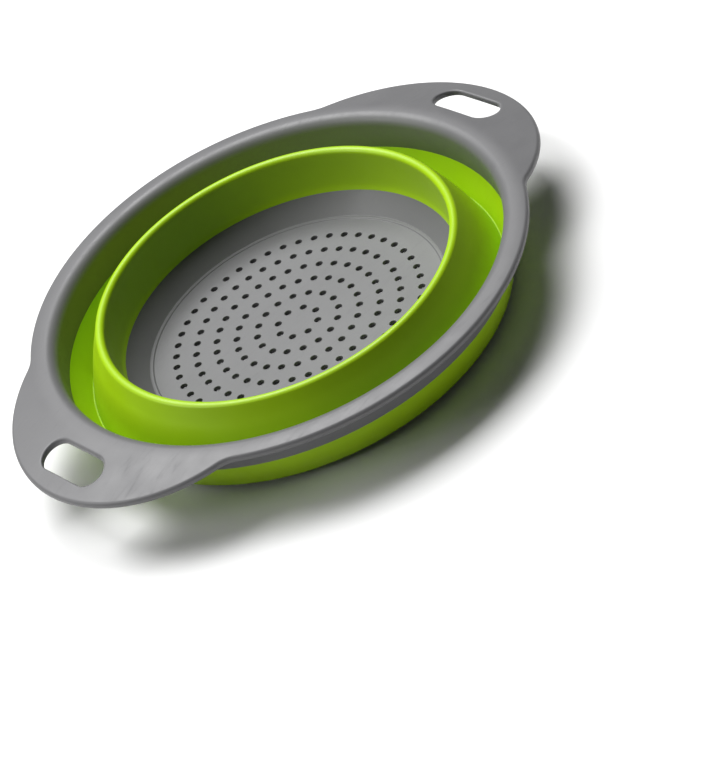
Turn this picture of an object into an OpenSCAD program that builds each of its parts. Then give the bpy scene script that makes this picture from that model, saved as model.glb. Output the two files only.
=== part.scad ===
// Collapsible colander with two slotted handles, stored in its folded-flat state.
// Millimetres, +Z up, origin at the middle of the foot ring's underside, handles along X.

/* [Perforated base] */
// Radius of the flat, perforated floor
floor_radius = 60.5; // [50:0.5:73]
// Thickness of the floor
floor_thickness = 2; // [1.5:0.1:3]
// Height of the foot ring under the floor
foot_height = 2; // [1.5:0.1:4]
// Width of the foot ring's underside
foot_width = 3; // [2:0.1:5]
// Small step between the floor and the sloping wall
floor_step = 0.8; // [0.4:0.1:1.5]
// Thickness of the base's sloping wall
base_wall_thickness = 2; // [1.5:0.1:3]
// How far the base wall leans out on its way up
base_lean = 7.9; // [6:0.1:10]
// How far the base wall rises above the floor
base_rise = 7.6; // [6:0.1:10]

/* [Drain holes] */
// Number of rings of holes, each with eight more holes than the one inside it
hole_rings = 6; // [4:1:8]
// Diameter of one drain hole
hole_diameter = 2.8; // [2:0.1:4]
// Plain border between the last ring of holes and the floor's edge
hole_border = 10.1; // [6:0.1:14]
// Angle from the handles to a line of holes
hole_phase = 31.5; // [0:0.5:45]

/* [Soft walls] */
// Thickness of the soft walls
soft_thickness = 1.9; // [1.4:0.1:2.6]
// How far the lower wall leans out between the base and the fold at its top
lower_lean = 1.6; // [1:0.1:4]
// Height of the fold's top above the table when folded flat
crest_height = 30.8; // [25:0.1:37]
// Distance across the folding wall, from the top fold to the bottom fold
fold_width = 10.7; // [8:0.1:14]
// Height of the bottom fold's inner edge above the table when folded flat
valley_height = 5.2; // [4.4:0.1:6.5]
// How far the upper wall leans out between the bottom fold and the rim
upper_lean = 5.5; // [4:0.1:7]
// Height of the upper wall's top edge above the table when folded flat
upper_wall_top = 15.2; // [12.5:0.1:18.5]

/* [Rim and handles] */
// Height of the rim's top above the table when folded flat
rim_height = 30.3; // [25:0.1:37]
// Width of the rim's flange, outside its inner wall
flange_width = 10.6; // [8:0.1:12.8]
// Thickness of the flange and handles
flange_thickness = 2.9; // [2.4:0.1:3.6]
// How far the flange and handles fall for each millimetre outwards
brim_fall = 0.23; // [0.18:0.01:0.28]
// Thickness of the rim's inner wall at its bottom
skirt_thickness = 1.8; // [1.4:0.1:2.4]
// Radius of the smooth turn from the inner wall to the flange
inner_turn = 4.5; // [3:0.1:5.5]
// How far each handle reaches beyond the flange
handle_reach = 22.2; // [18:0.1:27]
// Radius of the handle's rounded outline
handle_round = 63.6; // [56:0.2:76]
// Radius of the hollow curve where a handle leaves the flange
neck_round = 14; // [10:0.5:24]

/* [Hanging slots] */
// Distance from the handle's tip to the middle of its slot
slot_inset = 14.1; // [12:0.1:16.5]
// Width of the slot
slot_width = 12.8; // [10.7:0.1:15.4]
// Length of the slot
slot_length = 32.5; // [27:0.5:39]

/* [Hidden] */
$fn = 128;

grey = [0.46, 0.46, 0.47];
green = [0.42, 0.68, 0.04];

// gap between the folding wall and the bottom fold, which moves with the rim
running_gap = 0.3;
// lap of the soft walls over the rigid mouldings
lap = 1.4;

// heights, from the table up
floor_top = foot_height + floor_thickness;
step_top = floor_top + floor_step;
base_top = floor_top + base_rise;
crest_round = soft_thickness;
crest_middle = crest_height - crest_round;
fold_bottom = valley_height - 2.4;
flange_bottom = rim_height - flange_thickness;

// radii, from the axis out
base_radius = floor_radius + base_lean;
lower_radius = base_radius + lower_lean;
crest_radius = lower_radius + crest_round;
fold_start = crest_radius + crest_round;
valley_radius = fold_start + fold_width;
rim_inside = valley_radius + 0.4 + upper_lean;
rim_outside = rim_inside + flange_width;
brim_start = rim_inside + inner_turn + 0.4;
brim_bend = 5;

// outer corner where the base wall meets the soft wall's lap
tongue = 1;
lap_radius = base_radius + tongue;
base_shoulder = lap_radius + tongue;

// the rim's skirt and its lap with the upper wall
skirt_outside = rim_inside + skirt_thickness;
skirt_lap = rim_inside + skirt_thickness / 2;

hole_pitch = (floor_radius - hole_border) / hole_rings;
handle_tip = rim_outside + handle_reach;
handle_middle = handle_tip - handle_round;
slot_middle = handle_tip - slot_inset;
slot_floor = flange_bottom - brim_drop(handle_tip) - 1;

// middle of the hollow neck curve, which touches the flange and the handle outline
neck_from_axis = rim_outside + neck_round;
neck_from_handle = handle_round + neck_round;
neck_x = (neck_from_axis * neck_from_axis - neck_from_handle * neck_from_handle
          + handle_middle * handle_middle) / (2 * handle_middle);
neck_y = sqrt(neck_from_axis * neck_from_axis - neck_x * neck_x);
neck = [neck_x, neck_y];

// the slot's ends are round
slot_end = slot_width / 2;
slot_reach = slot_length / 2 - slot_end;

// points on an arc about middle c, from angle a to angle b
function arc(c, r, a, b, n = 8) =
  [for (i = [0:n]) c + r * [cos(a + (b - a) * i / n), sin(a + (b - a) * i / n)]];

// the folding wall's upper face: out from the top fold, steeper and steeper
function fold_face(n = 6) =
  [for (i = [0:n])
    [valley_radius - fold_width * (1 - i / n),
     crest_middle - (crest_middle - valley_height) * (i / n) * (0.72 + 0.28 * i / n)]];

// how far the brim has fallen at radius r: level, then a short bend, then straight
function brim_drop(r) =
  r < brim_start ? 0 :
  r < brim_start + brim_bend ? brim_fall * pow(r - brim_start, 2) / (2 * brim_bend) :
  brim_fall * (r - brim_start - brim_bend / 2);

module strainer_base() {
  color(grey)
  difference() {
    rotate_extrude()
      polygon([
        [0, foot_height],
        [floor_radius - foot_width, foot_height],
        [floor_radius - foot_width, 0],
        [floor_radius, 0],
        [floor_radius + base_wall_thickness * 0.7, foot_height + 0.6],
        [base_shoulder, base_top - lap],
        [lap_radius, base_top - lap],
        [lap_radius, base_top],
        [base_radius, base_top],
        [floor_radius + 0.4, step_top],
        [floor_radius - 0.1, step_top - 0.2],
        [floor_radius - 0.5, floor_top],
        [0, floor_top]
      ]);
    for (ring = [1:hole_rings])
      for (i = [0:8 * ring - 1])
        rotate([0, 0, hole_phase + 45 * i / ring])
          translate([ring * hole_pitch, 0, foot_height - 1])
            cylinder(h = floor_thickness + 2, d = hole_diameter);
  }
}

// soft wall standing on the base, with the rounded fold along its top
module lower_wall() {
  color(green)
  rotate_extrude()
    polygon(concat(
      [
        [lap_radius, base_top - lap],
        [base_shoulder, base_top - lap],
        [crest_radius - 0.9, base_top + 1.6],
        [crest_radius, base_top + 6.4],
        [crest_radius, crest_middle]
      ],
      arc([crest_radius, crest_middle], crest_round, 0, 180, 10),
      [
        [lower_radius - 0.2, base_top + 6.4],
        [lower_radius - 0.7, base_top + 2.4],
        [base_radius, base_top],
        [lap_radius, base_top]
      ]));
}

// soft wall between the two folds: it turns over as the rim is pulled up
module folding_wall() {
  under = [for (p = fold_face()) [p[0] - soft_thickness, p[1]]];
  color(green)
  rotate_extrude()
    polygon(concat(
      fold_face(),
      [for (i = [len(under) - 1:-1:1]) under[i]],
      [[crest_radius + 0.1, crest_middle]]));
}

// soft wall under the rim, with the bottom fold along its lower edge
module upper_wall() {
  fold_top = valley_height - running_gap;
  color(green)
  rotate_extrude()
    polygon([
      [valley_radius - soft_thickness + 0.1, fold_top],
      [valley_radius - soft_thickness + 0.5, fold_bottom + 0.8],
      [valley_radius - soft_thickness + 1.6, fold_bottom + 0.1],
      [valley_radius + 1.4, fold_bottom],
      [valley_radius + 2.3, fold_bottom + 0.4],
      [valley_radius + 2.8, fold_bottom + 1.4],
      [skirt_outside, upper_wall_top + lap],
      [skirt_lap, upper_wall_top + lap],
      [skirt_lap, upper_wall_top],
      [rim_inside, upper_wall_top],
      [valley_radius + 0.4, valley_height],
      [valley_radius + 0.2, fold_top]
    ]);
}

// one slot with round ends, as a solid to be taken away
module slot_space() {
  tall = rim_height + 1 - slot_floor;
  translate([slot_middle, 0, slot_floor]) {
    for (y = [-slot_reach, slot_reach])
      translate([0, y, 0])
        cylinder(h = tall, r = slot_end);
    translate([-slot_end, -slot_reach, 0])
      cube([2 * slot_end, 2 * slot_reach, tall]);
  }
}

// upright outline of one handle, with hollow curves where it leaves the flange
module handle_outline() {
  ring_touch = neck * rim_outside / neck_from_axis;
  from_handle = neck - [handle_middle, 0];
  plate_touch = [handle_middle, 0] + from_handle * handle_round / neck_from_handle;
  inside = 0.9 * (ring_touch + plate_touch) / 2;
  from_angle = atan2(plate_touch[1] - neck[1], plate_touch[0] - neck[0]);
  to_angle = atan2(ring_touch[1] - neck[1], ring_touch[0] - neck[0]);
  hollow = arc(neck, neck_round, from_angle, to_angle, 5);
  translate([handle_middle, 0, 0])
    cylinder(h = rim_height + 1, r = handle_round);
  for (side = [0, 1])
    mirror([0, side, 0])
      linear_extrude(rim_height + 1)
        polygon([
          inside,
          0.99 * hollow[0],
          hollow[1],
          hollow[2],
          hollow[3],
          hollow[4],
          0.995 * hollow[5]
        ]);
}

// sheet that the flange and handles are cut from: level, then falling outwards
module brim_sheet() {
  far = handle_tip + 3;
  bend = [for (i = [0:4]) brim_start + brim_bend * i / 4];
  rotate_extrude()
    polygon(concat(
      [[rim_inside - 1, rim_height]],
      [for (r = bend) [r, rim_height - brim_drop(r)]],
      [[far, rim_height - brim_drop(far)], [far, flange_bottom - brim_drop(far)]],
      [for (i = [4:-1:0]) [bend[i], flange_bottom - brim_drop(bend[i])]],
      [[rim_inside - 1, flange_bottom]]));
}

// rigid ring with both handles: flange, inner wall and the turn between them
module rim() {
  color(grey)
  difference() {
    union() {
      intersection() {
        brim_sheet();
        union() {
          cylinder(h = rim_height + 1, r = rim_outside);
          for (turn = [0, 180])
            rotate([0, 0, turn])
              handle_outline();
        }
      }
      rotate_extrude()
        polygon([
          [rim_inside - 1, upper_wall_top],
          [skirt_lap, upper_wall_top],
          [skirt_lap, upper_wall_top + lap],
          [skirt_outside, upper_wall_top + lap],
          [skirt_outside + 0.8, flange_bottom - 1],
          [skirt_outside + 1.8, flange_bottom + 0.2],
          [rim_inside - 1, flange_bottom + 0.2]
        ]);
    }
    rotate_extrude()
      polygon(concat(
        [[0, upper_wall_top - 1], [rim_inside, upper_wall_top - 1]],
        arc([rim_inside + inner_turn, rim_height - inner_turn], inner_turn, 180, 90, 8),
        [[rim_inside + inner_turn, rim_height + 1], [0, rim_height + 1]]));
    for (turn = [0, 180])
      rotate([0, 0, turn])
        slot_space();
  }
}

strainer_base();
lower_wall();
folding_wall();
upper_wall();
rim();
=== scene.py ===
"""Collapsible colander: perforated base, soft folding walls and a flanged rim with two slotted handles.

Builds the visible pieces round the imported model, on a plain pale floor in soft studio light.
"""

import math

import bmesh
import bpy
from mathutils import Matrix, Vector
from mathutils.geometry import delaunay_2d_cdt


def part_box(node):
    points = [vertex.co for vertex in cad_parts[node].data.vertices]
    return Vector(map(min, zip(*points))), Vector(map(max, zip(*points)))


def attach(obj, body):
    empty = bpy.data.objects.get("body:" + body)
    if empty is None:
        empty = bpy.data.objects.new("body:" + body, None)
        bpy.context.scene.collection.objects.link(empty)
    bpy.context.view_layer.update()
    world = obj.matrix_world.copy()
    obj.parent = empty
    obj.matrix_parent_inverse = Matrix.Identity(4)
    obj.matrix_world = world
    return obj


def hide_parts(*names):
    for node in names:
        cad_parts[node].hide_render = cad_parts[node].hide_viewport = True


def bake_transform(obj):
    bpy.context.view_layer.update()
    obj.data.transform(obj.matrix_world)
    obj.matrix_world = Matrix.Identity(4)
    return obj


bl_info = {
    "name": "Collapsible Colander",
    "version": (1, 0, 0),
    "blender": (4, 5, 0),
    "location": "3D View > Sidebar > Colander",
    "description": "Builds a folding colander piece by piece, with its stage",
    "category": "Add Mesh",
}

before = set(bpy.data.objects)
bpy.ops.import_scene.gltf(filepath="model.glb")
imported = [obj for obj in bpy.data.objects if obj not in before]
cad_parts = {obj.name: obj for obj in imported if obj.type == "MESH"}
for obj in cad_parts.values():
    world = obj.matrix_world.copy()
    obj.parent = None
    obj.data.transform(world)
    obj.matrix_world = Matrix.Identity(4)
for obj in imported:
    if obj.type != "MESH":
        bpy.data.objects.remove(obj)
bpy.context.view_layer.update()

MM = 0.001
DISH, TOP_RING = "dish", "top_ring"
GREY_SLOT, GREEN_SLOT = "grey_plastic", "green_soft"

BASE_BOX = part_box("strainer_base")
LOWER_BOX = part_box("lower_wall")
FOLD_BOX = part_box("folding_wall")
UPPER_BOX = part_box("upper_wall")
RIM_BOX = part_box("rim")


# ---------------------------------------------------------------- settings


def length(name, description, default, low=0.0, high=1.0):
    return bpy.props.FloatProperty(
        name=name,
        description=description,
        default=default,
        min=low,
        max=high,
        precision=4,
        unit="LENGTH",
    )


def angle(name, description, degrees):
    return bpy.props.FloatProperty(
        name=name,
        description=description,
        default=math.radians(degrees),
        subtype="ANGLE",
    )


def colour(name, description, default):
    return bpy.props.FloatVectorProperty(
        name=name,
        description=description,
        default=default,
        size=3,
        min=0.0,
        max=1.0,
        subtype="COLOR",
    )


def share(name, description, default):
    return bpy.props.FloatProperty(
        name=name,
        description=description,
        default=default,
        min=0.0,
        max=1.0,
        subtype="FACTOR",
    )


class ColanderBaseSettings(bpy.types.PropertyGroup):
    """Sizes of the perforated base"""

    floor_radius: length("Floor radius", "Radius of the flat perforated floor", 60.5 * MM)
    floor_top: length("Floor height", "Height of the floor's upper face", 4 * MM)
    foot_height: length("Foot height", "Height of the foot ring", 2 * MM)
    foot_width: length("Foot width", "Width of the foot ring's underside", 3 * MM)
    bead_height: length("Bead height", "Height of the fine bead round the floor", 0.45 * MM)
    wall_radius: length("Wall radius", "Inner radius of the wall's top edge", 68.4 * MM)
    wall_top: length("Wall height", "Height of the wall's top edge", BASE_BOX[1].z)
    hole_diameter: length("Hole diameter", "Diameter of one drain hole", 2.8 * MM)
    hole_pitch: length("Hole pitch", "Distance between rings of holes", 8.4 * MM)
    hole_rings: bpy.props.IntProperty(
        name="Hole rings",
        description="Number of rings of holes, each with eight more holes than the last",
        default=6,
        min=1,
        max=8,
    )
    hole_phase: angle("Hole angle", "Angle from the handles to a line of holes", 31.5)
    hole_lip: length("Hole edge", "Rounding of each drain hole's edge", 0.25 * MM)


class ColanderWallSettings(bpy.types.PropertyGroup):
    """Sizes of the soft walls"""

    thickness: length("Thickness", "Thickness of the soft walls", 1.9 * MM)
    crest_top: length("Top fold height", "Height of the top fold", LOWER_BOX[1].z)
    crest_radius: length(
        "Top fold radius", "Radius of the middle of the top fold", LOWER_BOX[1].x - 1.9 * MM
    )
    valley_radius: length("Bottom fold radius", "Radius of the bottom fold's inner edge", FOLD_BOX[1].x)
    valley_height: length("Bottom fold height", "Height of the bottom fold's inner edge", FOLD_BOX[0].z)
    fold_bottom: length("Lowest edge", "Height of the bottom fold's underside", UPPER_BOX[0].z)
    join_radius: length("Join radius", "Outer radius where the upper wall meets the rim", UPPER_BOX[1].x)
    join_height: length("Join height", "Height of the upper wall's outer top edge", UPPER_BOX[1].z)


class ColanderRimSettings(bpy.types.PropertyGroup):
    """Sizes of the rim and its handles"""

    inside: length("Inner radius", "Radius of the rim's inner wall", 90.4 * MM)
    outside: length("Flange radius", "Outer radius of the flange", RIM_BOX[1].y)
    top: length("Rim height", "Height of the flange's upper face", RIM_BOX[1].z)
    bottom: length("Skirt bottom", "Height of the inner wall's lower edge", RIM_BOX[0].z)
    thickness: length("Flange thickness", "Thickness of the flange and handles", 2.9 * MM)
    turn: length("Inner turn", "Radius of the turn from the inner wall to the flange", 4.5 * MM)
    edge: length("Edge rounding", "Rounding of the flange's outer edge", 1.1 * MM)
    tip: length("Handle reach", "Distance from the axis to a handle's tip", RIM_BOX[1].x)
    fall: share("Brim fall", "How far the brim falls for each unit outwards", 0.23)
    bend: length("Brim bend", "Width of the bend where the brim starts to fall", 5 * MM)
    handle_round: length("Handle outline", "Radius of a handle's rounded outline", 63.6 * MM)
    neck_round: length("Neck", "Radius of the hollow curve beside a handle", 14 * MM)
    slot_inset: length("Slot inset", "Distance from a handle's tip to its slot's middle", 14.1 * MM)
    slot_width: length("Slot width", "Width of a hanging slot", 12.8 * MM)
    slot_length: length("Slot length", "Length of a hanging slot", 32.5 * MM)
    slot_lip: length("Slot edge", "Rounding of a slot's edges", 0.9 * MM)


class ColanderFinishSettings(bpy.types.PropertyGroup):
    """Colours and surface of the two plastics"""

    grey: colour("Grey", "Colour of the rigid plastic", (0.135, 0.135, 0.139))
    grey_roughness: share("Grey roughness", "Roughness of the rigid plastic", 0.45)
    green: colour("Green", "Colour of the soft plastic", (0.33, 0.55, 0.003))
    green_roughness: share("Green roughness", "Roughness of the soft plastic", 0.40)


class ColanderStageSettings(bpy.types.PropertyGroup):
    """Camera, floor and lights"""

    azimuth: angle("Camera azimuth", "Turn of the camera about the upright axis", -28.03)
    elevation: angle("Camera elevation", "Angle of the camera above the floor", 37.68)
    roll: angle("Camera roll", "Turn of the camera about its own axis", -25.32)
    distance: length("Camera distance", "Distance from the camera to its aim", 1.0866, 0.1, 10)
    focal: bpy.props.FloatProperty(
        name="Focal length",
        description="Focal length on a sensor with a 36 mm long side",
        default=140.08,
        unit="CAMERA",
    )
    floor_tone: colour("Floor", "Colour of the floor", (0.86, 0.86, 0.86))


# ---------------------------------------------------------------- outlines


def polar(radius, theta):
    return Vector((radius * math.cos(theta), radius * math.sin(theta)))


def arc(centre, radius, start, end, steps):
    """Points on an arc, angles in degrees."""
    return [
        Vector(centre) + polar(radius, math.radians(start + (end - start) * i / steps))
        for i in range(steps + 1)
    ]


def circle(radius, count, centre=(0.0, 0.0)):
    return [Vector(centre) + polar(radius, math.tau * i / count) for i in range(count)]


def rounded(corners, steps=6):
    """Open path through corners given as (radius, height, rounding), with each corner rounded off."""
    path = []
    for i, (x, z, r) in enumerate(corners):
        here = Vector((x, z))
        if r <= 0 or i in (0, len(corners) - 1):
            path.append(here)
            continue
        back = (Vector(corners[i - 1][:2]) - here)
        ahead = (Vector(corners[i + 1][:2]) - here)
        half = back.angle(ahead) / 2
        reach = min(r / math.tan(half), 0.49 * back.length, 0.49 * ahead.length)
        r = reach * math.tan(half)
        back.normalize()
        ahead.normalize()
        middle = here + (back + ahead).normalized() * (r / math.sin(half))
        first, last = here + back * reach - middle, here + ahead * reach - middle
        turn = first.angle_signed(last)
        for k in range(steps + 1):
            path.append(middle + Matrix.Rotation(-turn * k / steps, 2) @ first)
    return path


def spline(points, steps=6):
    """Smooth path through points."""
    pts = [Vector(p) for p in points]
    ends = [2 * pts[0] - pts[1]] + pts + [2 * pts[-1] - pts[-2]]
    path = []
    for i in range(1, len(ends) - 2):
        a, b, c, d = ends[i - 1 : i + 3]
        for k in range(steps):
            t = k / steps
            path.append(
                0.5
                * (
                    2 * b
                    + (c - a) * t
                    + (2 * a - 5 * b + 4 * c - d) * t**2
                    + (3 * b - a - 3 * c + d) * t**3
                )
            )
    path.append(pts[-1])
    return path


def rounded_edge(radius, guard, top, under):
    """Section of a plate's edge, rounded above and below, as (distance in from the edge, height)."""
    quarter = [math.radians(a) for a in range(0, 91, 15)]
    section = [(radius + guard, top)]
    section += [(radius * (1 - math.sin(a)), top - radius * (1 - math.cos(a))) for a in quarter]
    section += [(radius * (1 - math.cos(a)), under + radius * (1 - math.sin(a))) for a in quarter]
    section += [(radius + guard, under)]
    return section


# ---------------------------------------------------------------- mesh making


def new_piece(name, bm, material, slot, body, *nodes):
    """Turns a bmesh into a smooth-shaded piece that stands for the CAD nodes."""
    bmesh.ops.remove_doubles(bm, verts=bm.verts, dist=2e-6)
    bmesh.ops.recalc_face_normals(bm, faces=bm.faces)
    mesh = bpy.data.meshes.new(name)
    bm.to_mesh(mesh)
    bm.free()
    mesh.shade_smooth()
    mesh.set_sharp_from_angle(angle=math.radians(42))
    piece = bpy.data.objects.new(name, mesh)
    bpy.context.scene.collection.objects.link(piece)
    mesh.materials.append(material)
    if body:
        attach(piece, body)
    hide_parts(*nodes)
    return piece


def lathe(bm, path, count, closed=False):
    """Turns a path of (radius, height) points about the upright axis."""
    rings = []
    for p in path:
        if p.x < 1e-7:
            rings.append([bm.verts.new((0, 0, p.y))] * count)
        else:
            rings.append([bm.verts.new((q.x, q.y, p.y)) for q in circle(p.x, count)])
    pairs = list(zip(rings, rings[1:]))
    if closed:
        pairs.append((rings[-1], rings[0]))
    for a, b in pairs:
        for i in range(count):
            j = (i + 1) % count
            corners = []
            for v in (a[i], a[j], b[j], b[i]):
                if v not in corners:
                    corners.append(v)
            bm.faces.new(corners)


def strip(bm, loops):
    """Joins a row of closed loops of 3D points that all have the same number of points."""
    rings = [[bm.verts.new(p) for p in loop] for loop in loops]
    for a, b in zip(rings, rings[1:]):
        for i in range(len(a)):
            j = (i + 1) % len(a)
            bm.faces.new((a[i], a[j], b[j], b[i]))


def flat_sheet(bm, height, outer, holes, extra=()):
    """Fills the space between an outer loop and some holes with flat faces."""
    points = list(outer)
    edges = [(i, (i + 1) % len(outer)) for i in range(len(outer))]
    for hole in holes:
        start = len(points)
        points += hole
        edges += [(start + i, start + (i + 1) % len(hole)) for i in range(len(hole))]
    points += list(extra)
    verts, _, faces, _, _, _ = delaunay_2d_cdt(points, edges, [], 0, 1e-9)

    def within(p, loop):
        inside = False
        for a, b in zip(loop, loop[1:] + loop[:1]):
            if (a.y > p.y) != (b.y > p.y) and p.x < (b.x - a.x) * (p.y - a.y) / (b.y - a.y) + a.x:
                inside = not inside
        return inside

    made = [bm.verts.new((v.x, v.y, height)) for v in verts]
    centres = [sum(hole, Vector((0, 0))) / len(hole) for hole in holes]
    reach = [max((q - c).length for q in hole) for hole, c in zip(holes, centres)]
    for f in faces:
        middle = sum((verts[i] for i in f), Vector((0, 0))) / len(f)
        if not within(middle, outer):
            continue
        if any(
            (middle - c).length < r and within(middle, h)
            for h, c, r in zip(holes, centres, reach)
        ):
            continue
        bm.faces.new([made[i] for i in f])
    for v in made:
        if not v.link_faces:
            bm.verts.remove(v)


def lift(loop, height):
    return [(p.x, p.y, height) for p in loop]


# ---------------------------------------------------------------- materials


def node_at(tree, kind, x, y, **values):
    node = tree.nodes.new(kind)
    node.location = (x, y)
    for key, value in values.items():
        setattr(node, key, value)
    return node


def plastic(name, tone, roughness, grain, spread, gloss, wear):
    """Satin moulded plastic: faint flow marks, fine grain, handling rubs and hair scratches."""
    material = bpy.data.materials.new(name)
    material.use_nodes = True
    tree = material.node_tree
    shader = tree.nodes["Principled BSDF"]
    link = tree.links.new
    place = node_at(tree, "ShaderNodeTexCoord", -1400, 0)

    flow = node_at(tree, "ShaderNodeTexNoise", -1100, 300)
    flow.inputs["Scale"].default_value = 28.0
    flow.inputs["Detail"].default_value = 5.0
    flow.inputs["Roughness"].default_value = 0.55
    link(place.outputs["Object"], flow.inputs["Vector"])
    tint = node_at(tree, "ShaderNodeValToRGB", -850, 300)
    dark, light = tint.color_ramp.elements
    dark.position, light.position = 0.3, 0.72
    dark.color = [c * (1 - spread) for c in tone] + [1]
    light.color = [min(1, c * (1 + spread)) for c in tone] + [1]
    link(flow.outputs["Fac"], tint.inputs["Fac"])
    link(tint.outputs["Color"], shader.inputs["Base Color"])

    rubs = node_at(tree, "ShaderNodeTexNoise", -1100, 0)
    rubs.inputs["Scale"].default_value = 75.0
    rubs.inputs["Detail"].default_value = 6.0
    rubs.inputs["Distortion"].default_value = 0.6
    link(place.outputs["Object"], rubs.inputs["Vector"])
    polish = node_at(tree, "ShaderNodeMapRange", -850, 0)
    polish.inputs["From Min"].default_value = 0.3
    polish.inputs["From Max"].default_value = 0.7
    polish.inputs["To Min"].default_value = roughness - 0.05
    polish.inputs["To Max"].default_value = roughness + 0.06
    link(rubs.outputs["Fac"], polish.inputs["Value"])

    # hair scratches from washing and stacking: thin lines where a stretched noise crosses its middle
    turn = node_at(tree, "ShaderNodeMapping", -1300, -600)
    turn.inputs["Rotation"].default_value = (0.3, 0.2, 0.9)
    turn.inputs["Scale"].default_value = (18.0, 340.0, 90.0)
    link(place.outputs["Object"], turn.inputs["Vector"])
    hair = node_at(tree, "ShaderNodeTexNoise", -1100, -600)
    hair.inputs["Scale"].default_value = 1.0
    hair.inputs["Detail"].default_value = 3.0
    link(turn.outputs["Vector"], hair.inputs["Vector"])
    scratch = node_at(tree, "ShaderNodeValToRGB", -850, -600)
    ends = scratch.color_ramp.elements
    ends[0].position, ends[1].position = 0.485, 0.515
    ends[0].color, ends[1].color = (0, 0, 0, 1), (0, 0, 0, 1)
    scratch.color_ramp.elements.new(0.5).color = (1, 1, 1, 1)
    link(hair.outputs["Fac"], scratch.inputs["Fac"])
    worn = node_at(tree, "ShaderNodeMath", -600, 0, operation="MULTIPLY_ADD")
    worn.inputs[1].default_value = wear
    link(scratch.outputs["Color"], worn.inputs[0])
    link(polish.outputs["Result"], worn.inputs[2])
    link(worn.outputs["Value"], shader.inputs["Roughness"])

    fine = node_at(tree, "ShaderNodeTexNoise", -1100, -300)
    fine.inputs["Scale"].default_value = 1500.0
    fine.inputs["Detail"].default_value = 2.0
    link(place.outputs["Object"], fine.inputs["Vector"])
    grain_bump = node_at(tree, "ShaderNodeBump", -600, -300)
    grain_bump.inputs["Strength"].default_value = grain
    grain_bump.inputs["Distance"].default_value = 0.0001
    link(fine.outputs["Fac"], grain_bump.inputs["Height"])
    link(grain_bump.outputs["Normal"], shader.inputs["Normal"])

    shader.inputs["IOR"].default_value = 1.49
    shader.inputs["Specular IOR Level"].default_value = gloss
    return material


def grey_plastic():
    finish = bpy.context.scene.colander_finish
    return bpy.data.materials.get("grey plastic") or plastic(
        "grey plastic", finish.grey, finish.grey_roughness, 0.25, 0.04, 0.5, 0.12
    )


def green_soft_plastic():
    finish = bpy.context.scene.colander_finish
    return bpy.data.materials.get("green soft plastic") or plastic(
        "green soft plastic", finish.green, finish.green_roughness, 0.15, 0.05, 0.4, 0.08
    )


# ---------------------------------------------------------------- pieces


class COLANDER_OT_base(bpy.types.Operator):
    """Make the rigid dish with its drain holes, step, sloping wall and foot ring"""

    bl_idname = "colander.base"
    bl_label = "Perforated Base"

    def execute(self, context):
        s = context.scene.colander_base
        bm = bmesh.new()
        count = 288
        join = s.floor_radius - s.foot_width - 1.2 * MM
        thick = s.floor_top - s.foot_height

        above = rounded(
            [
                (join, s.floor_top, 0),
                (s.floor_radius - 0.9 * MM, s.floor_top, 0.3 * MM),
                (s.floor_radius - 0.5 * MM, s.floor_top + s.bead_height, 0.35 * MM),
                (s.floor_radius + 0.3 * MM, s.floor_top + s.bead_height, 0.35 * MM),
                (s.floor_radius + 0.7 * MM, s.floor_top + 0.35 * MM, 0.5 * MM),
                (s.wall_radius, s.wall_top, 0),
                (s.wall_radius + 1 * MM, s.wall_top, 0),
                (s.wall_radius + 1 * MM, s.wall_top - 1.4 * MM, 0),
                (s.wall_radius + 2 * MM, s.wall_top - 1.4 * MM, 0.2 * MM),
                (s.floor_radius + 1.5 * MM, s.foot_height + 0.7 * MM, 2 * MM),
                (s.floor_radius, 0, 0.7 * MM),
                (s.floor_radius - s.foot_width, 0, 0.7 * MM),
                (s.floor_radius - s.foot_width, s.foot_height, 0.5 * MM),
                (join, s.foot_height, 0),
            ]
        )
        lathe(bm, above, count)

        rows = [
            (ring * s.hole_pitch, s.hole_phase + math.tau * i / (8 * ring))
            for ring in range(1, s.hole_rings + 1)
            for i in range(8 * ring)
        ]
        middles = [polar(radius, theta) for radius, theta in rows]
        hole = s.hole_diameter / 2
        sides, guard = 20, 0.12 * MM
        for height, sign in ((s.floor_top, 1), (s.foot_height, -1)):
            mouths = [circle(hole + s.hole_lip + guard, sides, m) for m in middles]
            flat_sheet(bm, height, circle(join, count), mouths)
        for m in middles:
            section = [(s.hole_lip + guard, 0.0)]
            section += [
                (s.hole_lip * (1 - math.sin(a)), s.hole_lip * (1 - math.cos(a)))
                for a in (0, math.pi / 6, math.pi / 3, math.pi / 2)
            ]
            levels = [(hole + out, s.floor_top - down) for out, down in section]
            levels += [(hole + out, s.foot_height + down) for out, down in reversed(section)]
            strip(bm, [lift(circle(r, sides, m), z) for r, z in levels])
        new_piece("perforated_base", bm, grey_plastic(), GREY_SLOT, DISH, "strainer_base")
        return {"FINISHED"}


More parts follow.
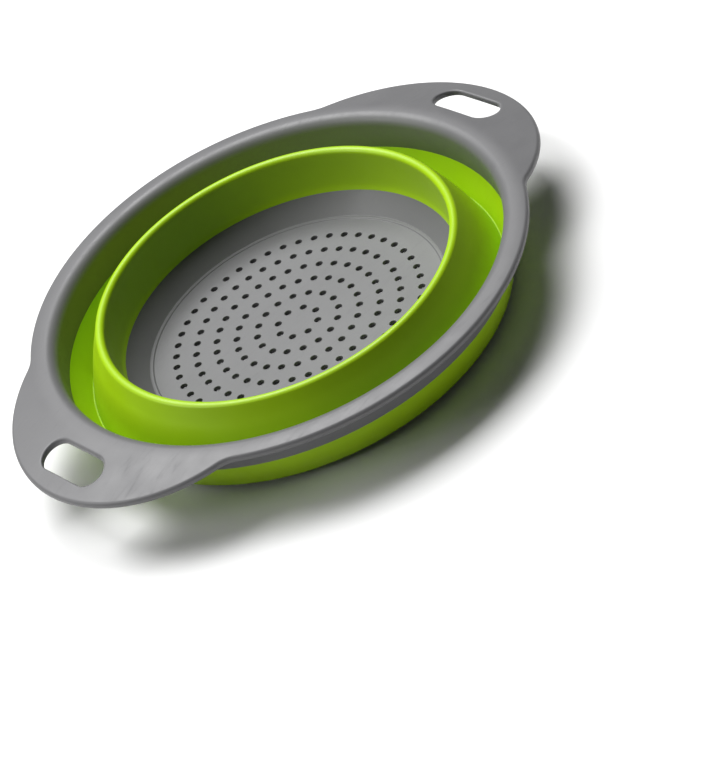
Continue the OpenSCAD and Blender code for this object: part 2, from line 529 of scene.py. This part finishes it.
class COLANDER_OT_walls(bpy.types.Operator):
    """Make the soft walls: lower wall with the top fold, folding wall, upper wall with the bottom fold"""

    bl_idname = "colander.walls"
    bl_label = "Soft Walls"

    def execute(self, context):
        base = context.scene.colander_base
        s = context.scene.colander_walls
        rim = context.scene.colander_rim
        green = green_soft_plastic()
        count = 288
        half = s.thickness
        crest = Vector((s.crest_radius, s.crest_top - half))
        leave, straighten = 38.0, 27.4

        # lower wall, with the fold along its top as far as the folding wall's start
        inner = crest.x - half
        inside = spline(
            [
                (base.wall_radius, base.wall_top),
                (inner - 0.75 * MM, base.wall_top + 2.4 * MM),
                (inner - 0.25 * MM, base.wall_top + 6.4 * MM),
                (inner, crest.y - 6 * MM),
                (inner, crest.y),
            ]
        )
        over = arc(crest, half, 180, leave, 18)
        start = over[-1]
        under = Vector((crest.x + 0.2 * MM, crest.y - 0.5 * MM))
        outside = spline(
            [
                (crest.x, crest.y - 3 * MM),
                (crest.x, base.wall_top + 6.4 * MM),
                (crest.x - 0.9 * MM, base.wall_top + 1.6 * MM),
                (base.wall_radius + 2 * MM, base.wall_top - 1.4 * MM),
            ]
        )
        bottom = [
            Vector((base.wall_radius + 1 * MM, base.wall_top - 1.4 * MM)),
            Vector((base.wall_radius + 1 * MM, base.wall_top)),
        ]
        bm = bmesh.new()
        lathe(bm, inside[:-1] + over + [under] + outside + bottom, count, closed=True)
        new_piece("lower_soft_wall", bm, green, GREEN_SLOT, DISH, "lower_wall")

        # folding wall: leaves the top fold along its tangent, steeper and steeper
        fall = s.valley_height - crest.y
        run = s.valley_radius - crest.x - half
        turn = arc(crest, half, leave, straighten, 4)
        face = turn[:-1] + spline(
            [turn[-1]]
            + [
                (crest.x + half + run * t, crest.y + fall * t * (0.72 + 0.28 * t))
                for t in (0.17, 0.38, 0.6, 0.8, 1.0)
            ],
            8,
        )
        back = [p - Vector((s.thickness, 0)) for p in face if p.y < crest.y - 1.5 * MM]
        bm = bmesh.new()
        lathe(bm, face + list(reversed(back)) + [under], count, closed=True)
        piece = new_piece("folding_soft_wall", bm, green, GREEN_SLOT, None, "folding_wall")
        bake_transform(piece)

        # upper wall, with the bottom fold along its lower edge
        v = s.valley_radius
        low = s.fold_bottom
        section = rounded(
            [
                (v - 1.8 * MM, s.valley_height, 0),
                (v - 1.3 * MM, low + 0.2 * MM, 1.4 * MM),
                (v + 2.3 * MM, low, 1.6 * MM),
                (s.join_radius, s.join_height, 0),
                (s.join_radius - 0.9 * MM, s.join_height, 0),
                (s.join_radius - 0.9 * MM, rim.bottom, 0),
                (rim.inside, rim.bottom, 0),
                (v + 0.45 * MM, s.valley_height + 0.1 * MM, 0.4 * MM),
                (v, s.valley_height, 0),
            ],
            8,
        )
        bm = bmesh.new()
        lathe(bm, section, count, closed=True)
        new_piece("upper_soft_wall", bm, green, GREEN_SLOT, TOP_RING, "upper_wall")
        return {"FINISHED"}


class RimPlan:
    """Plan of the flange with its handles and slots, at any inset from their edges, and its fall."""

    def __init__(self, s):
        self.s = s
        self.middle = s.tip - s.handle_round
        from_axis = s.outside + s.neck_round
        from_handle = s.handle_round + s.neck_round
        x = (from_axis**2 - from_handle**2 + self.middle**2) / (2 * self.middle)
        self.neck = Vector((x, math.sqrt(from_axis**2 - x**2)))
        hub = Vector((self.middle, 0))
        touch = hub + (self.neck - hub) * (s.handle_round / from_handle)
        self.ring_touch = math.atan2(self.neck.y, self.neck.x)
        self.plate_touch = math.atan2(touch.y, touch.x)

    def reach(self, theta, inset):
        """Distance from the axis to the outline, in one direction."""
        psi = abs((theta + math.pi / 2) % math.pi - math.pi / 2)
        s = self.s
        if psi >= self.ring_touch:
            return s.outside - inset
        if psi <= self.plate_touch:
            centre, radius, side = Vector((self.middle, 0)), s.handle_round - inset, 1
        else:
            centre, radius, side = self.neck, s.neck_round + inset, -1
        along = centre.dot(polar(1, psi))
        return along + side * math.sqrt(max(0, along**2 - centre.length_squared + radius**2))

    def drop(self, radius):
        """How far the brim has fallen: level, then a short bend, then straight."""
        s = self.s
        out = radius - s.inside - s.turn - 0.4 * MM
        if out <= 0:
            return 0.0
        if out < s.bend:
            return s.fall * out**2 / (2 * s.bend)
        return s.fall * (out - s.bend / 2)

    def near_slot(self, point, gap):
        """True for a point inside a slot, or closer to it than the gap."""
        s = self.s
        half = s.slot_width / 2
        reach = s.slot_length / 2 - half
        nearest = Vector((s.tip - s.slot_inset, max(-reach, min(reach, point.y))))
        return (Vector((abs(point.x), point.y)) - nearest).length < half + gap

    def outline(self, inset, count):
        return [polar(self.reach(math.tau * i / count, inset), math.tau * i / count) for i in range(count)]

    def slot(self, outset, side):
        """One slot's edge: two round ends joined by straight sides."""
        s = self.s
        half = s.slot_width / 2
        reach = s.slot_length / 2 - half
        middle = s.tip - s.slot_inset
        loop = []
        for way, first in ((1, 0), (-1, 180)):
            loop += arc((middle, way * reach), half + outset, first, first + 180, 24)
            end = loop[-1]
            loop += [end - Vector((0, way * 2 * reach * k / 12)) for k in range(1, 12)]
        return [side * p for p in loop]


class COLANDER_OT_rim(bpy.types.Operator):
    """Make the rigid rim: inner wall, sloping flange and the two slotted handles"""

    bl_idname = "colander.rim"
    bl_label = "Rim and Handles"

    def execute(self, context):
        s = context.scene.colander_rim
        plan = RimPlan(s)
        count = 720
        guard = 0.3 * MM
        under = s.top - s.thickness
        bm = bmesh.new()

        # edge of the flange and handles
        edge = rounded_edge(s.edge, guard, s.top, under)
        strip(bm, [lift(plan.outline(inset, count), z) for inset, z in edge])

        # both slots' edges
        lip = rounded_edge(s.slot_lip, guard, s.top, under)
        for side in (1, -1):
            strip(bm, [lift(plan.slot(outset, side), z) for outset, z in lip])

        # inner wall, its turn into the flange, and the outside of the skirt
        skirt = s.inside + 1.8 * MM
        turn = arc((s.inside + s.turn, s.top - s.turn), s.turn, 90, 180, 16)
        inner_ring = s.inside + s.turn + guard
        outer_ring = skirt + 2.6 * MM
        wall = [Vector((inner_ring, s.top))] + turn
        wall += rounded(
            [
                (s.inside, s.top - s.turn - 1 * MM, 0),
                (s.inside, s.bottom, 0),
                (s.inside + 0.9 * MM, s.bottom, 0),
                (s.inside + 0.9 * MM, s.bottom + 1.4 * MM, 0),
                (skirt, s.bottom + 1.4 * MM, 0),
                (skirt + 0.8 * MM, under, 1.5 * MM),
                (outer_ring, under, 0),
            ]
        )
        lathe(bm, wall, count)

        # level upper and lower faces, with rows of points so that they can bend
        row_step, row_points = 0.75 * MM, 360
        edge_gap = s.edge + guard + 0.3 * MM
        slot_gap = s.slot_lip + guard + 0.4 * MM
        for height, ring in ((s.top, inner_ring), (under, outer_ring)):
            rows = []
            for k in range(1, 40):
                radius = ring + k * row_step
                rows += [
                    p
                    for i, p in enumerate(circle(radius, row_points))
                    if radius < plan.reach(math.tau * i / row_points, edge_gap)
                    and not plan.near_slot(p, slot_gap)
                ]
            flat_sheet(
                bm,
                height,
                plan.outline(s.edge + guard, count),
                [circle(ring, count)] + [plan.slot(s.slot_lip + guard, side) for side in (1, -1)],
                rows,
            )

        # the brim falls away outwards, flange and handles alike
        for v in bm.verts:
            v.co.z -= plan.drop(v.co.xy.length)
        new_piece("rim_with_handles", bm, grey_plastic(), GREY_SLOT, TOP_RING, "rim")
        return {"FINISHED"}


# ---------------------------------------------------------------- stage


def soft_light(name, place, aim, size, power, tone=(1, 1, 1)):
    data = bpy.data.lights.new(name, "AREA")
    data.shape = "RECTANGLE"
    data.size, data.size_y = size
    data.energy = power
    data.color = tone
    light = bpy.data.objects.new(name, data)
    bpy.context.scene.collection.objects.link(light)
    light.location = place
    light.rotation_euler = (Vector(aim) - Vector(place)).to_track_quat("-Z", "Y").to_euler()
    return light


class COLANDER_OT_stage(bpy.types.Operator):
    """Make the camera, the pale floor and the soft lights"""

    bl_idname = "colander.stage"
    bl_label = "Stage"

    def execute(self, context):
        s = context.scene.colander_stage
        scene = context.scene
        aim = Vector((-24.2, -70.4, 20.0)) * MM

        data = bpy.data.cameras.new("camera")
        data.lens = s.focal
        data.sensor_width = 36.0
        data.shift_x, data.shift_y = -0.0076, -0.0015
        data.clip_start, data.clip_end = 0.05, 20
        camera = bpy.data.objects.new("camera", data)
        scene.collection.objects.link(camera)
        level = math.cos(s.elevation)
        back = Vector(
            (math.sin(s.azimuth) * level, -math.cos(s.azimuth) * level, math.sin(s.elevation))
        )
        camera.location = aim + back * s.distance
        look = (-back).to_track_quat("-Z", "Y").to_matrix() @ Matrix.Rotation(s.roll, 3, "Z")
        camera.rotation_euler = look.to_euler()
        scene.camera = camera

        bm = bmesh.new()
        bmesh.ops.create_grid(bm, x_segments=8, y_segments=8, size=6)
        mesh = bpy.data.meshes.new("floor")
        bm.to_mesh(mesh)
        bm.free()
        floor = bpy.data.objects.new("floor", mesh)
        scene.collection.objects.link(floor)
        pale = bpy.data.materials.new("pale floor")
        pale.use_nodes = True
        paint = pale.node_tree.nodes["Principled BSDF"]
        paint.inputs["Base Color"].default_value = (*s.floor_tone, 1)
        paint.inputs["Roughness"].default_value = 0.9
        mesh.materials.append(pale)

        soft_light("overhead", (0.1, 0.75, 1.5), (0, 0, 0), (1.5, 1.1), 50)
        soft_light("left", (-1.35, 0.55, 0.9), (0, 0, 0.02), (0.8, 0.8), 9)

        world = bpy.data.worlds.new("studio")
        world.use_nodes = True
        sky = world.node_tree.nodes["Background"]
        sky.inputs["Color"].default_value = (1, 1, 1, 1)
        sky.inputs["Strength"].default_value = 0.05
        scene.world = world
        scene.view_settings.view_transform = "Standard"
        return {"FINISHED"}


# ---------------------------------------------------------------- panel


class COLANDER_PT_panel(bpy.types.Panel):
    """Buttons and settings for each piece of the colander"""

    bl_idname = "COLANDER_PT_panel"
    bl_label = "Collapsible Colander"
    bl_space_type = "VIEW_3D"
    bl_region_type = "UI"
    bl_category = "Colander"

    def draw(self, context):
        layout = self.layout
        for operator, settings in STEPS:
            layout.operator(operator.bl_idname)
            group = getattr(context.scene, settings)
            box = layout.box()
            for key in group.__annotations__:
                box.prop(group, key)
        finish = layout.box()
        for key in ColanderFinishSettings.__annotations__:
            finish.prop(context.scene.colander_finish, key)


STEPS = (
    (COLANDER_OT_stage, "colander_stage"),
    (COLANDER_OT_base, "colander_base"),
    (COLANDER_OT_walls, "colander_walls"),
    (COLANDER_OT_rim, "colander_rim"),
)

SETTINGS = {
    "colander_base": ColanderBaseSettings,
    "colander_walls": ColanderWallSettings,
    "colander_rim": ColanderRimSettings,
    "colander_finish": ColanderFinishSettings,
    "colander_stage": ColanderStageSettings,
}

CLASSES = (
    *SETTINGS.values(),
    *(operator for operator, _ in STEPS),
    COLANDER_PT_panel,
)


def register():
    for cls in CLASSES:
        bpy.utils.register_class(cls)
    for name, cls in SETTINGS.items():
        setattr(bpy.types.Scene, name, bpy.props.PointerProperty(type=cls))


def unregister():
    for name in SETTINGS:
        delattr(bpy.types.Scene, name)
    for cls in reversed(CLASSES):
        bpy.utils.unregister_class(cls)


def main():
    register()
    bpy.ops.colander.stage()
    bpy.ops.colander.base()
    bpy.ops.colander.walls()
    bpy.ops.colander.rim()


if __name__ == "__main__":
    main()
